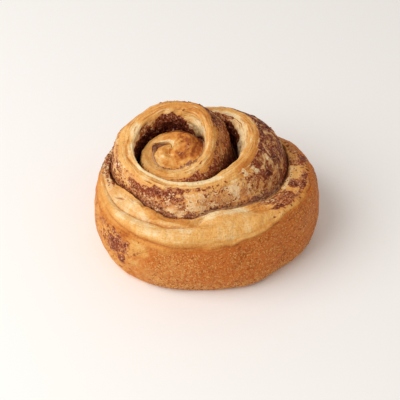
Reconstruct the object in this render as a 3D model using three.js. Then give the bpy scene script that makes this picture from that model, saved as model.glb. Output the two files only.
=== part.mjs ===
// A baked cinnamon roll: one long strip of dough, wound outwards into a spiral and standing on its edge,
// with a thin sheet of cinnamon filling between its turns. The inner turns have risen above the outer ones.
// Millimetres, +Z up. The origin is under the middle of the roll's box, on the surface that it rests on.
import * as THREE from "three";
import { mergeVertices } from "three/addons/utils/BufferGeometryUtils.js";

// A place along the strip is given in turns. Whole turns lie at the right (+X), and the strip winds
// anticlockwise seen from above: a quarter turn is at the back (+Y), a half at the left, three quarters in front.
const STEPS_PER_TURN = 44;
const FIRST_STEP = 13; // the inner end, tucked into the middle of the roll
const LAST_STEP = 194; // the outer end, pressed against the back left of the wall
const STRIP_START = FIRST_STEP / STEPS_PER_TURN;
const STRIP_END = LAST_STEP / STEPS_PER_TURN;

// The strip's section at each quarter turn: how far from the spiral's middle its outer seam and its rim are,
// how high the rim is, how high the crack between it and the next turn starts, and half the rim's width.
const QUARTER = 0.25;
const SECTIONS = [
  { seam: 4.5, rim: 2.5, rise: 44.0, crack: 42.0, lip: 2.5 }, // 0.25 turns
  { seam: 8.4, rim: 4.6, rise: 44.0, crack: 41.5, lip: 2.5 },
  { seam: 12.5, rim: 6.0, rise: 43.0, crack: 41.2, lip: 2.5 },
  { seam: 15.2, rim: 8.6, rise: 46.2, crack: 43.5, lip: 2.8 }, // 1 turn
  { seam: 14.2, rim: 9.8, rise: 45.0, crack: 27.0, lip: 2.6 },
  { seam: 16.0, rim: 12.8, rise: 43.0, crack: 25.0, lip: 3.0 },
  { seam: 22.4, rim: 17.6, rise: 44.0, crack: 42.2, lip: 3.2 },
  { seam: 30.5, rim: 18.4, rise: 50.0, crack: 29.5, lip: 2.4 }, // 2 turns
  { seam: 29.5, rim: 21.2, rise: 52.8, crack: 32.0, lip: 3.4 },
  { seam: 30.5, rim: 21.6, rise: 47.0, crack: 30.3, lip: 4.6 },
  { seam: 36.5, rim: 24.6, rise: 46.0, crack: 34.0, lip: 3.6 },
  { seam: 43.0, rim: 27.5, rise: 48.5, crack: 31.0, lip: 3.8 }, // 3 turns
  { seam: 40.0, rim: 35.5, rise: 41.5, crack: 24.0, lip: 3.0 },
  { seam: 53.5, rim: 48.0, rise: 31.5, crack: 25.5, lip: 3.0 },
  { seam: 48.5, rim: 41.0, rise: 36.5, crack: 28.5, lip: 5.0 },
  { seam: 54.0, rim: 45.0, rise: 33.5, crack: 27.5, lip: 5.0 }, // 4 turns
  { seam: 47.5, rim: 44.0, rise: 25.5, crack: 21.5, lip: 3.0 },
  { seam: 54.5, rim: 55.0, rise: 25.0, crack: 21.0, lip: 1.5 },
];

// Where the dough swells or sinks between the quarter turns: turn, reach in turns, and size.
const SWELLS = {
  seam: [
    { at: 0.42, reach: 0.05, by: 1.6 },
    { at: 1.1, reach: 0.06, by: 0.8 },
    { at: 2.11, reach: 0.06, by: 2.4 },
    { at: 2.45, reach: 0.08, by: 1.4 },
    { at: 2.62, reach: 0.07, by: -3.4 },
    { at: 2.73, reach: 0.05, by: 1.2 },
    { at: 2.805, reach: 0.035, by: -2.4 },
    { at: 2.86, reach: 0.055, by: -3.2 },
    { at: 3.1, reach: 0.07, by: 4.8 },
    { at: 3.34, reach: 0.06, by: 5.0 },
    { at: 3.46, reach: 0.05, by: -1.0 },
    { at: 3.63, reach: 0.09, by: 2.8 },
    { at: 3.88, reach: 0.05, by: -1.2 },
    { at: 4.04, reach: 0.05, by: -0.6 },
    { at: 4.34, reach: 0.055, by: 5.4 },
  ],
  rim: [
    { at: 2.15, reach: 0.08, by: 1.6 },
    { at: 3.12, reach: 0.06, by: 1.2 },
    { at: 3.35, reach: 0.07, by: 6.5 },
    { at: 3.46, reach: 0.05, by: 2.2 },
    { at: 4.1, reach: 0.07, by: 1.5 },
    { at: 4.34, reach: 0.055, by: 4.6 },
  ],
  crack: [
    { at: 1.08, reach: 0.06, by: 3.0 },
    { at: 2.11, reach: 0.06, by: 3.0 },
    { at: 2.62, reach: 0.07, by: 3.0 },
    { at: 2.805, reach: 0.035, by: 2.0 },
    { at: 2.86, reach: 0.06, by: 2.0 },
  ],
  rise: [
    { at: 1.1, reach: 0.06, by: 1.6 },
    { at: 1.2, reach: 0.07, by: 1.2 },
    { at: 1.43, reach: 0.08, by: -2.0 },
    { at: 2.14, reach: 0.08, by: 2.0 },
    { at: 3.17, reach: 0.07, by: 1.2 },
    { at: 3.45, reach: 0.05, by: -2.0 },
    { at: 3.87, reach: 0.07, by: 0.8 },
    { at: 4.13, reach: 0.06, by: -1.5 },
  ],
  puff: [
    { at: 2.11, reach: 0.1, by: 0.14 },
    { at: 2.48, reach: 0.12, by: 0.28 },
    { at: 3.1, reach: 0.12, by: 0.14 },
  ],
  // The slot gapes round the strip's inner end, and closes at its outer end.
  slot: [
    { at: 0.38, reach: 0.09, by: 2.4 },
    { at: 3.4, reach: 0.08, by: -1.2 },
  ],
};

// The inner turns stand off to the back left, and the winding drifts back to the roll's middle as it goes out.
const INNER_MIDDLE = new THREE.Vector2(-16.5, 4.5);
const DRIFT_FROM = 2.25;
const DRIFT_TURNS = 1.25;

const HOOK_TURNS = 3 / STEPS_PER_TURN; // the second turn leaves the axis over this much, round the inner end
const AXIS_RISE = 44; // height of the lump at the spiral's middle
const SLOT = 1.6; // room between two turns, which holds the filling
const FILLING_CLEAR = 0.3; // room between the filling and the dough on each side
const FILLING_FOOT = 0.6; // the filling stops this far above the base
const FILLING_BELOW_CRACK = 0.3;
const FILLING_FIRST_STEP = FIRST_STEP + 1;
const FILLING_LAST_STEP = LAST_STEP - STEPS_PER_TURN - 7;

const LIP_DROP_IN = 0.9; // how far the rim falls to its inner and its outer lip
const LIP_DROP_OUT = 1.5;
const LIP_SHARE = 0.6; // a lip takes at most this share of the way to its seam
const SHOULDER_OUT = { along: 0.6, down: 0.6 }; // the rounded slopes below the two lips
const SHOULDER_IN = { along: 0.7, down: 0.35 };
const PUFF = 0.16; // how much the outer slope bulges, as a share of its height

const WALL_TURNS = 0.06; // the slot turns into the outer wall over this much
const WALL_LEAD = 0.03;
const FOOT_TURNS = 0.14; // past the outer end, the wall's foot is drawn in over this much
const WAIST = 14; // height at which the wall is widest
const HEEL = 4; // height at which it starts to turn under
const FOOT_IN = 4; // how far it is drawn in at the base
const THIN_FOOT = 0.4; // the most that a thin strip's foot is drawn in, as a share of its thickness
const SHOULDER_DRAW = 0.3; // how far the wall's shoulder and heel are drawn in, as shares of the foot's draw
const HEEL_DRAW = 0.4;
const SLOT_WAIST = 0.5; // heights of the same two knots on a plain slot wall, as shares of its height
const SLOT_HEEL = 0.2;

// Two creases run along the top of the outer turn at the front left, with soft folds of dough beside them.
// A path gives the share of the way across the top at some turns, and the reach is a share too.
const CREASES = [
  {
    depth: 2.2,
    reach: 0.06,
    path: [
      { turn: 3.52, share: 0.47 },
      { turn: 3.6, share: 0.47 },
      { turn: 3.656, share: 0.44 },
      { turn: 3.69, share: 0.49 },
      { turn: 3.735, share: 0.38 },
      { turn: 3.774, share: 0.17 },
      { turn: 3.8, share: 0.06 },
    ],
  },
  {
    depth: 1.1,
    reach: 0.06,
    path: [
      { turn: 3.514, share: 0.6 },
      { turn: 3.557, share: 0.67 },
      { turn: 3.6, share: 0.78 },
      { turn: 3.65, share: 0.86 },
      { turn: 3.7, share: 0.93 },
      { turn: 3.8, share: 0.85 },
    ],
  },
];

// Steps of the mesh across the strip's section.
const INNER_STEPS = 2;
const TOP_STEPS = 14;
const SIDE_STEPS = 6;
const BASE_STEPS = 2;
const MERGE_WITHIN = 1e-4;

const DOUGH_LOOK = { color: "#c68a4d", roughness: 0.62, metalness: 0 };
const FILLING_LOOK = { color: "#683a2c", roughness: 0.5, metalness: 0 };

const clamp01 = (t) => THREE.MathUtils.clamp(t, 0, 1);
const ease = (t) => clamp01(t) ** 2 * (3 - 2 * clamp01(t));
const turnOf = (step) => step / STEPS_PER_TURN;

// The Catmull-Rom curve from b to c, with a and d beside them.
function curveAt(t, a, b, c, d) {
  return b + 0.5 * t * (c - a + t * (2 * a - 5 * b + 4 * c - d + t * (3 * (b - c) + d - a)));
}

// A value of the strip at a turn: a Catmull-Rom curve through its quarter turns, with its swells added.
function along(name, turn) {
  const last = SECTIONS.length - 1;
  const s = THREE.MathUtils.clamp(turn / QUARTER - 1, 0, last - 1e-6);
  const i = Math.floor(s);
  const t = s - i;
  const at = (k) => SECTIONS[THREE.MathUtils.clamp(k, 0, last)][name];
  return curveAt(t, at(i - 1), at(i), at(i + 1), at(i + 2)) + swell(name, turn);
}

function swell(name, turn) {
  const humps = SWELLS[name] ?? [];
  return humps.reduce((sum, hump) => sum + hump.by * Math.exp(-(((turn - hump.at) / hump.reach) ** 2)), 0);
}

// Room between a turn and the next one.
function slotWidth(turn) {
  return SLOT + swell("slot", turn);
}

// The point at a turn, a distance from the spiral's drifting middle, and a height.
function place(turn, radius, height) {
  const drift = 1 - ease((turn - DRIFT_FROM) / DRIFT_TURNS);
  const angle = 2 * Math.PI * turn;
  return new THREE.Vector3(
    INNER_MIDDLE.x * drift + radius * Math.cos(angle),
    INNER_MIDDLE.y * drift + radius * Math.sin(angle),
    height,
  );
}

// Part of the way from one point to another, with a share of its own for the height.
function between(from, to, share, heightShare) {
  const point = from.clone().lerp(to, share);
  point.z = THREE.MathUtils.lerp(from.z, to.z, heightShare);
  return point;
}

// The lip beside the rim, towards a seam: level with the rim but for a small drop.
function lipBeside(rim, seam, width, drop) {
  const run = Math.hypot(seam.x - rim.x, seam.y - rim.y);
  const point = rim.clone().lerp(seam, Math.min(width / Math.max(run, 1e-6), LIP_SHARE));
  point.z = rim.z - Math.min(drop, LIP_SHARE * Math.abs(rim.z - seam.z));
  return point;
}

// Points on a Catmull-Rom curve through some knots, evenly spaced by knot.
function curveThrough(knots, steps) {
  const first = knots[0].clone().multiplyScalar(2).sub(knots[1]);
  const last = knots.at(-1).clone().multiplyScalar(2).sub(knots.at(-2));
  const all = [first, ...knots, last];
  return Array.from({ length: steps + 1 }, (_, k) => {
    const s = (k / steps) * (knots.length - 1);
    const i = Math.min(Math.floor(s), knots.length - 2);
    const t = s - i;
    const [a, b, c, d] = all.slice(i, i + 4);
    const curve = (axis) => curveAt(t, a[axis], b[axis], c[axis], d[axis]);
    return new THREE.Vector3(curve("x"), curve("y"), curve("z"));
  });
}

function straight(from, to, steps) {
  return Array.from({ length: steps + 1 }, (_, k) => from.clone().lerp(to, k / steps));
}

// The share of the way across the top at which a crease's path crosses a turn, straight between its knots.
function pathShare(path, turn) {
  const next = path.findIndex((knot) => knot.turn > turn);
  const [from, to] = [path[next - 1], path[next]];
  return THREE.MathUtils.mapLinear(turn, from.turn, to.turn, from.share, to.share);
}

// How far the creases sink the top, at a turn and a share of the way across it. They fade at both ends.
function creaseDepth(turn, share) {
  return CREASES.reduce((sum, { depth, reach, path }) => {
    const run = THREE.MathUtils.inverseLerp(path[0].turn, path.at(-1).turn, turn);
    if (run <= 0 || run >= 1) return sum;
    const across = (share - pathShare(path, turn)) / reach;
    return sum + depth * Math.sqrt(Math.sin(Math.PI * run)) * Math.exp(-(across ** 2));
  }, 0);
}

// The closed outline of the dough at a turn: up the inner wall, over the rim, down the outer side, along the base.
function doughSection(turn) {
  const before = turn - 1;
  const freed = ease((before - STRIP_START) / HOOK_TURNS + 1);
  const innerRadius = (along("seam", before) + slotWidth(before) / 2) * freed;
  const innerCrack = THREE.MathUtils.lerp(AXIS_RISE, along("crack", before), freed);
  const innerFoot = place(before, innerRadius, 0);
  const innerSeam = place(before, innerRadius, innerCrack);

  const wall = ease((turn - (STRIP_END - 1 - WALL_LEAD)) / WALL_TURNS);
  const outerRadius = along("seam", turn) - (slotWidth(turn) / 2) * (1 - wall);
  const outerCrack = along("crack", turn);
  const thickness = place(turn, outerRadius, 0).distanceTo(innerFoot);
  const footIn = ease((turn - STRIP_END + 1) / FOOT_TURNS) * Math.min(FOOT_IN, THIN_FOOT * thickness);
  const outerSeam = place(turn, outerRadius - SHOULDER_DRAW * footIn, outerCrack);
  const waistRise = THREE.MathUtils.lerp(SLOT_WAIST * outerCrack, WAIST, wall);
  const heelRise = THREE.MathUtils.lerp(SLOT_HEEL * outerCrack, HEEL, wall);
  const waist = place(turn, outerRadius, waistRise);
  const heel = place(turn, outerRadius - HEEL_DRAW * footIn, heelRise);
  const outerFoot = place(turn, outerRadius - footIn, 0);

  const rim = place(turn, along("rim", turn), along("rise", turn));
  const lip = along("lip", turn);
  const innerLip = lipBeside(rim, innerSeam, lip, LIP_DROP_IN);
  const outerLip = lipBeside(rim, outerSeam, lip, LIP_DROP_OUT);
  const innerShoulder = between(innerLip, innerSeam, SHOULDER_IN.along, SHOULDER_IN.down);
  const outerShoulder = between(outerLip, outerSeam, SHOULDER_OUT.along, SHOULDER_OUT.down);
  outerShoulder.z += (PUFF + swell("puff", turn)) * (outerLip.z - outerSeam.z);

  const knots = [innerSeam, innerShoulder, innerLip, rim, outerLip, outerShoulder, outerSeam];
  const top = curveThrough(knots, TOP_STEPS);
  top.forEach((point, k) => (point.z -= creaseDepth(turn, k / TOP_STEPS)));
  return [
    ...straight(innerFoot, innerSeam, INNER_STEPS).slice(0, -1),
    ...top,
    ...curveThrough([outerSeam, waist, heel, outerFoot], SIDE_STEPS).slice(1),
    ...straight(outerFoot, innerFoot, BASE_STEPS).slice(1, -1),
  ];
}

// The closed outline of the filling at a turn, clear of the dough on both sides.
function fillingSection(turn) {
  const half = slotWidth(turn) / 2 - FILLING_CLEAR;
  const inside = along("seam", turn) - half;
  const outside = along("seam", turn) + half;
  const top = along("crack", turn) - FILLING_BELOW_CRACK;
  return [
    place(turn, inside, FILLING_FOOT),
    place(turn, inside, top),
    place(turn, outside, top),
    place(turn, outside, FILLING_FOOT),
  ];
}

// A closed body carried along the strip: one outline for each step, with faces between and a fan at each end.
function sweep(section, firstStep, lastStep) {
  const rings = [];
  for (let step = firstStep; step <= lastStep; step++) rings.push(section(turnOf(step)));
  const across = rings[0].length;
  const faces = [];
  for (let row = 0; row + 1 < rings.length; row++) {
    for (let k = 0; k < across; k++) {
      const next = (k + 1) % across;
      const [a, b] = [row * across + k, row * across + next];
      faces.push([a, b, a + across], [b, b + across, a + across]);
    }
  }
  const points = rings.flat();
  const lastRing = points.length - across;
  const firstMiddle = points.push(middleOf(rings[0])) - 1;
  const lastMiddle = points.push(middleOf(rings.at(-1))) - 1;
  for (let k = 0; k < across; k++) {
    const next = (k + 1) % across;
    faces.push([next, k, firstMiddle], [lastRing + k, lastRing + next, lastMiddle]);
  }
  return closedBody(points, faces);
}

function middleOf(outline) {
  const sum = outline.reduce((total, point) => total.add(point), new THREE.Vector3());
  return sum.divideScalar(outline.length);
}

// One geometry with its shared points merged and the faces that shrink to nothing at the axis left out.
function closedBody(points, faces) {
  const loose = new THREE.BufferGeometry().setFromPoints(points);
  loose.setIndex(faces.flat());
  const merged = mergeVertices(loose, MERGE_WITHIN);
  const index = merged.getIndex().array;
  const kept = [];
  for (let k = 0; k < index.length; k += 3) {
    const [a, b, c] = [index[k], index[k + 1], index[k + 2]];
    if (a !== b && b !== c && c !== a) kept.push(a, b, c);
  }
  merged.setIndex(kept);
  return merged;
}

const dough = new THREE.Mesh(
  sweep(doughSection, FIRST_STEP, LAST_STEP),
  new THREE.MeshStandardMaterial(DOUGH_LOOK),
);
dough.name = "dough";

const filling = new THREE.Mesh(
  sweep(fillingSection, FILLING_FIRST_STEP, FILLING_LAST_STEP),
  new THREE.MeshStandardMaterial(FILLING_LOOK),
);
filling.name = "cinnamon_filling";

// The roll's box is centred over the origin.
const middle = new THREE.Box3().setFromObject(dough).getCenter(new THREE.Vector3());
const roll = new THREE.Group();
roll.add(dough, filling);
roll.position.set(-middle.x, -middle.y, 0);

const part = new THREE.Group();
part.add(roll);

export default part;
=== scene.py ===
"""A baked cinnamon roll on a plain pale floor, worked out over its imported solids."""

import bpy
import numpy as np
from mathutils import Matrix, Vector


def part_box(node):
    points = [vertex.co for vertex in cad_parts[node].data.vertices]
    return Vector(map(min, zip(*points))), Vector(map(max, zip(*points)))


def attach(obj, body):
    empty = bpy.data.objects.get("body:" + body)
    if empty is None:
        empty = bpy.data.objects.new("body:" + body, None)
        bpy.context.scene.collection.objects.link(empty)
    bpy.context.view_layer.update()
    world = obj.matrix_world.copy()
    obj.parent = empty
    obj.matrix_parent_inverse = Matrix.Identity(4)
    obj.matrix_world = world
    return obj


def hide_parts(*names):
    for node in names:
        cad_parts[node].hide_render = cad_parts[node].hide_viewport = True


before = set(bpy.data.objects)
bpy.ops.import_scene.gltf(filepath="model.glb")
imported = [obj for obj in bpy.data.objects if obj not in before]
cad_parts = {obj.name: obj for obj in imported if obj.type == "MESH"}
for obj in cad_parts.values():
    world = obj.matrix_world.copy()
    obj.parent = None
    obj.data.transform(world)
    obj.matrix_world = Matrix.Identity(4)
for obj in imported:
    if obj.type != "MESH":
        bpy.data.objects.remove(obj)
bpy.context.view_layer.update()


# The dough is one long strip, wound outwards a little over four turns and standing on its edge. The inner
# turns have risen above the outer ones in the oven: pale where they rose apart, golden on the rims, browned
# on the outer wall, and smeared with cinnamon wherever two turns lay against each other.
MM = 0.001

# A place along the strip is given in turns. Whole turns lie at the right, and the strip winds anticlockwise
# seen from above: a quarter turn is at the back, a half at the left, three quarters in front.
STRIP_START = 13 / 44
STRIP_END = 194 / 44
QUARTER = 0.25

# The strip's section at each quarter turn from 0.25, in mm: how far its outer seam and its rim are from the
# winding's middle, how high the rim and the crack beside it are, and half the rim's width.
SECTIONS = np.array([
    (4.5, 2.5, 44.0, 42.0, 2.5),
    (8.4, 4.6, 44.0, 41.5, 2.5),
    (12.5, 6.0, 43.0, 41.2, 2.5),
    (15.2, 8.6, 46.2, 43.5, 2.8),
    (14.2, 9.8, 45.0, 27.0, 2.6),
    (16.0, 12.8, 43.0, 25.0, 3.0),
    (22.4, 17.6, 44.0, 42.2, 3.2),
    (30.5, 18.4, 50.0, 29.5, 2.4),
    (29.5, 21.2, 52.8, 32.0, 3.4),
    (30.5, 21.6, 47.0, 30.3, 4.6),
    (36.5, 24.6, 46.0, 34.0, 3.6),
    (43.0, 27.5, 48.5, 31.0, 3.8),
    (40.0, 35.5, 41.5, 24.0, 3.0),
    (53.5, 48.0, 31.5, 25.5, 3.0),
    (48.5, 41.0, 36.5, 28.5, 5.0),
    (54.0, 45.0, 33.5, 27.5, 5.0),
    (47.5, 44.0, 25.5, 21.5, 3.0),
    (54.5, 55.0, 25.0, 21.0, 1.5),
])
SECTION_PARTS = ("seam", "rim", "rise", "crack", "lip")

# Where the dough swells or sinks between the quarter turns: turn, reach in turns, and size.
SWELLS = {
    "seam": (
        (0.42, 0.05, 1.6), (1.1, 0.06, 0.8), (2.11, 0.06, 2.4), (2.45, 0.08, 1.4), (2.62, 0.07, -3.4),
        (2.73, 0.05, 1.2), (2.805, 0.035, -2.4), (2.86, 0.055, -3.2), (3.1, 0.07, 4.8), (3.34, 0.06, 5.0),
        (3.46, 0.05, -1.0), (3.63, 0.09, 2.8), (3.88, 0.05, -1.2), (4.04, 0.05, -0.6), (4.34, 0.055, 5.4),
    ),
    "rim": (
        (2.15, 0.08, 1.6), (3.12, 0.06, 1.2), (3.35, 0.07, 6.5), (3.46, 0.05, 2.2), (4.1, 0.07, 1.5),
        (4.34, 0.055, 4.6),
    ),
    "crack": (
        (1.08, 0.06, 3.0), (2.11, 0.06, 3.0), (2.62, 0.07, 3.0), (2.805, 0.035, 2.0), (2.86, 0.06, 2.0),
    ),
    "rise": (
        (1.1, 0.06, 1.6), (1.2, 0.07, 1.2), (1.43, 0.08, -2.0), (2.14, 0.08, 2.0), (3.17, 0.07, 1.2),
        (3.45, 0.05, -2.0), (3.87, 0.07, 0.8), (4.13, 0.06, -1.5),
    ),
    "puff": ((2.11, 0.1, 0.14), (2.48, 0.12, 0.28), (3.1, 0.12, 0.14)),
    "slot": ((0.38, 0.09, 2.4), (3.4, 0.08, -1.2)),
}

# The inner turns are wound round a middle of their own, from which the winding drifts back to the roll's.
INNER_MIDDLE = (-16.5, 4.5)
DRIFT_FROM = 2.25
DRIFT_TURNS = 1.25

# The strip's inner end hooks round the winding's axis. From there on, a slot lies between two turns, and they
# lean together over it, by mm at some turns and with bumps that are shares of that.
HOOK_TURNS = 3 / 44
AXIS_RISE = 44
SLOT = 1.6
CRACK_LEAN = ((0.49, 0.0), (0.55, 0.9), (0.66, 0.9), (0.74, 0.32))
LEAN_BUMPS = ((0.6, 9, 41), (0.7, 3, 42))
CRACK_LEAST = 0.06

# The lips on both sides of the rim drop by some mm and go at most a share of the way to the crack. The
# shoulders beyond them lie at shares of the rest, across and down, and the outer one is puffed up.
LIP_DROP_IN = 0.9
LIP_DROP_OUT = 1.5
LIP_SHARE = 0.6
INNER_SHOULDER = (0.7, 0.35)
OUTER_SHOULDER = (0.6, 0.6)
PUFF = 0.16

# On the last turn, the outer side is the open wall, with a waist and a heel at heights in mm. Its foot steps
# in by mm or a share of the thickness, and the heel and the seam by shares of that. In a slot, waist and heel
# lie at shares of the crack's height.
WALL_TURNS = 0.06
WALL_LEAD = 0.03
FOOT_TURNS = 0.14
WAIST = 14
HEEL = 4
WAIST_SHARE = 0.5
HEEL_SHARE = 0.2
FOOT_IN = 4
FOOT_SHARE = 0.4
HEEL_IN = 0.4
SEAM_IN = 0.3

# A wobble is a sum of this many waves, whose lengths lie between these shares of its size.
WAVES = 24
WAVE_LENGTHS = (0.7, 1.6)

# Keeps a place off the end of a table, and a divisor off zero.
TINY = 1e-6


def ease(t):
    """Rises smoothly from 0 at t = 0 to 1 at t = 1, as 3t^2 - 2t^3."""
    t = np.clip(t, 0, 1)
    return t * t * (3 - 2 * t)


def mix(a, b, share):
    """Straight from a to b by a share."""
    return a + (b - a) * share


def hump(x, at, reach):
    """A bell of height 1 at a place, as exp(-((x - at) / reach)^2)."""
    return np.exp(-((x - at) / reach) ** 2)


def half_wave(t):
    """Half a sine wave: 0 at t = 0, 1 halfway and 0 again at t = 1."""
    return np.sin(np.pi * np.clip(t, 0, 1))


def by_turn(turn, *knots):
    """A value that goes straight between (turn, value) knots."""
    turns, values = zip(*knots)
    return np.interp(turn, turns, values)


def wobble(points, size, seed):
    """Smooth bumps of about a size, mostly between -1 and 1: a sum of sine waves in random directions."""
    rng = np.random.default_rng(seed)
    way = rng.normal(size=(WAVES, points.shape[-1]))
    length = rng.uniform(*WAVE_LENGTHS, (WAVES, 1)) * size
    way *= 2 * np.pi / length / np.linalg.norm(way, axis=1, keepdims=True)
    start = rng.uniform(0, 2 * np.pi, WAVES)
    return sum(np.sin(points @ w + s) for w, s in zip(way, start)) / np.sqrt(2 * WAVES)


def bumps(points, *rows):
    """Wobbles of several sizes added up. Each row is a height, a size in mm and a seed."""
    return sum(height * wobble(points, size, seed) for height, size, seed in rows)


def curve_at(t, a, b, c, d):
    """The Catmull-Rom curve from b to c, with a and d beside them."""
    return b + 0.5 * t * (c - a + t * (2 * a - 5 * b + 4 * c - d + t * (3 * (b - c) + d - a)))


def along(name, turn):
    """A size of the strip at a turn: the curve through its quarter turns, with its swells added."""
    swell = sum(by * hump(turn, at, reach) for at, reach, by in SWELLS.get(name, ()))
    if name not in SECTION_PARTS:
        return swell
    sizes = SECTIONS[:, SECTION_PARTS.index(name)]
    last = len(sizes) - 1
    s = np.clip(turn / QUARTER - 1, 0, last - TINY)
    i = s.astype(int)
    beside = [sizes[np.clip(i + k, 0, last)] for k in (-1, 0, 1, 2)]
    return curve_at(s - i, *beside) + swell


def place(turn, radius, height):
    """The point at a turn, a distance from the winding's drifting middle, and a height."""
    drift = 1 - ease((turn - DRIFT_FROM) / DRIFT_TURNS)
    x = INNER_MIDDLE[0] * drift + radius * np.cos(2 * np.pi * turn)
    y = INNER_MIDDLE[1] * drift + radius * np.sin(2 * np.pi * turn)
    return np.stack(np.broadcast_arrays(x, y, height), -1)


def slot_width(turn):
    """Room between two turns, in mm. It gapes round the strip's inner end and closes at its outer end."""
    return SLOT + along("slot", turn)


def crack_half(turn):
    """Half the crack that is left open at the top of the slot, where the two turns lean together unevenly."""
    seam = place(turn, along("seam", turn), 0)
    lean = by_turn(turn, *CRACK_LEAN) * (1 + bumps(seam, *LEAN_BUMPS))
    return np.maximum(slot_width(turn) / 2 - lean, CRACK_LEAST)


def towards(start, end, share, height_share):
    """Part of the way from one point to another, with a share of its own for the height."""
    point = mix(start, end, np.asarray(share)[..., None])
    point[..., 2] = mix(start[..., 2], end[..., 2], height_share)
    return point


def lip_beside(rim, seam, width, drop):
    """The lip beside the rim, towards a seam: level with the rim but for a small drop."""
    run = np.hypot(*np.moveaxis((seam - rim)[..., :2], -1, 0))
    fall = np.abs(rim[..., 2] - seam[..., 2])
    lip = towards(rim, seam, np.minimum(width / np.maximum(run, TINY), LIP_SHARE), 0)
    lip[..., 2] -= np.minimum(drop, LIP_SHARE * fall)
    return lip


def curve_through(knots, share):
    """The curve through knots, each a row of points, at shares of the way from the first to the last."""
    ends = [2 * knots[0] - knots[1], *knots, 2 * knots[-1] - knots[-2]]
    beside = np.concatenate(ends, axis=1)
    s = np.clip(share, 0, 1) * (len(knots) - 1)
    i = np.minimum(s.astype(int), len(knots) - 2)
    a, b, c, d = (np.take_along_axis(beside, (i + k)[..., None], axis=1) for k in range(4))
    return curve_at((s - i)[..., None], a, b, c, d)


def dough_surface(turn, across):
    """The strip's closed outline at a turn. Across runs from 0 to 4: up the inner wall to the crack, over
    the rim to the outer seam, down the outer side, and back along the base. turn is a column, and across has
    a row for each turn."""
    before = turn - 1
    freed = ease((before - STRIP_START) / HOOK_TURNS + 1)
    inner_radius = (along("seam", before) + slot_width(before) / 2) * freed
    inner_foot = place(before, inner_radius, 0)
    crack_radius = (along("seam", before) + crack_half(before)) * freed
    inner_seam = place(before, crack_radius, mix(AXIS_RISE, along("crack", before), freed))

    wall = ease((turn - (STRIP_END - 1 - WALL_LEAD)) / WALL_TURNS)
    outer_radius = along("seam", turn) - slot_width(turn) / 2 * (1 - wall)
    crack = along("crack", turn)
    thickness = np.linalg.norm(place(turn, outer_radius, 0) - inner_foot, axis=-1)
    foot_in = ease((turn - STRIP_END + 1) / FOOT_TURNS) * np.minimum(FOOT_IN, FOOT_SHARE * thickness)
    lean = (slot_width(turn) / 2 - crack_half(turn)) * (1 - wall)
    outer_seam = place(turn, outer_radius + lean - SEAM_IN * foot_in, crack)
    waist = place(turn, outer_radius, mix(WAIST_SHARE * crack, WAIST, wall))
    heel = place(turn, outer_radius - HEEL_IN * foot_in, mix(HEEL_SHARE * crack, HEEL, wall))
    outer_foot = place(turn, outer_radius - foot_in, 0)

    rim = place(turn, along("rim", turn), along("rise", turn))
    lip = along("lip", turn)
    inner_lip = lip_beside(rim, inner_seam, lip, LIP_DROP_IN)
    outer_lip = lip_beside(rim, outer_seam, lip, LIP_DROP_OUT)
    inner_shoulder = towards(inner_lip, inner_seam, *INNER_SHOULDER)
    outer_shoulder = towards(outer_lip, outer_seam, *OUTER_SHOULDER)
    outer_shoulder[..., 2] += (PUFF + along("puff", turn)) * (outer_lip - outer_seam)[..., 2]

    top_knots = [inner_seam, inner_shoulder, inner_lip, rim, outer_lip, outer_shoulder, outer_seam]
    inner = curve_through([inner_foot, inner_seam], across)
    top = curve_through(top_knots, across - 1)
    side = curve_through([outer_seam, waist, heel, outer_foot], across - 2)
    base = curve_through([outer_foot, inner_foot], across - 3)
    part = across[..., None]
    return np.select([part < 1, part < 2, part < 3], [inner, top, side], base)


FINE_STEPS = 4000


def even_steps(first, last, rows, radius_name, height_name):
    """Turns at even steps along the path that two of the strip's sizes make, found on a path of fine steps,
    and the length of the path up to each of them. Both are columns."""
    fine = np.linspace(first, last, FINE_STEPS)
    path = place(fine, along(radius_name, fine), along(height_name, fine))
    length = np.cumsum(np.linalg.norm(np.diff(path, axis=0, prepend=path[:1]), axis=1))
    run = np.linspace(0, length[-1], rows)[:, None]
    return np.interp(run, length, fine), run


def columns(inner, top, side, base):
    """Across values of one row, evenly spaced on each of the outline's four parts."""
    counts = (inner, top, side, base)
    return np.concatenate([k + np.arange(n) / n for k, n in enumerate(counts)])


# The grid: rows along the strip, and columns on the outline's four parts. The open wall has more on its side.
ROWS = 960
SLOT_COLUMNS = (3, 72, 22, 4)
WALL_COLUMNS = (3, 48, 46, 4)
turn, run_along = even_steps(STRIP_START, STRIP_END, ROWS, "rim", "rise")
wall_shown = ease((turn - STRIP_END + 1) / WALL_TURNS + 1)
across = mix(columns(*SLOT_COLUMNS), columns(*WALL_COLUMNS), wall_shown)
surface = dough_surface(turn, across)
share = across - 1
box_middle = (surface.min(axis=(0, 1)) + surface.max(axis=(0, 1))) / 2
height = surface[..., 2]

# How deep a point lies in a gap, from 0 to 1, by the mm that it is below a rim: that of its own turn on the
# inside, and that of the next turn on the outside. The last turn has no other outside it. This is painted
# shade: the colour darkens with it towards near black.
DARK_FROM, DARK_OVER = 2.5, 8
next_rise = np.where(turn > STRIP_END - 1, 0, along("rise", turn + 1))
beside_rise = np.where(share < 0.5, along("rise", turn), next_rise)
painted_shade = ease((beside_rise - height - DARK_FROM) / DARK_OVER) * (share < 1)


def zone(x, low, high, soft):
    """1 between low and high, falling smoothly to 0 over a soft edge on both sides."""
    return ease((x - low) / soft + 0.5) * ease((high - x) / soft + 0.5)


# The soft edges of a patch, and how they waver, in turns and in shares across.
TURN_SOFT, SHARE_SOFT = 0.03, 0.06
TURN_WAVER, SHARE_WAVER = (0.005, 6, 21), (0.016, 4, 22)


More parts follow.
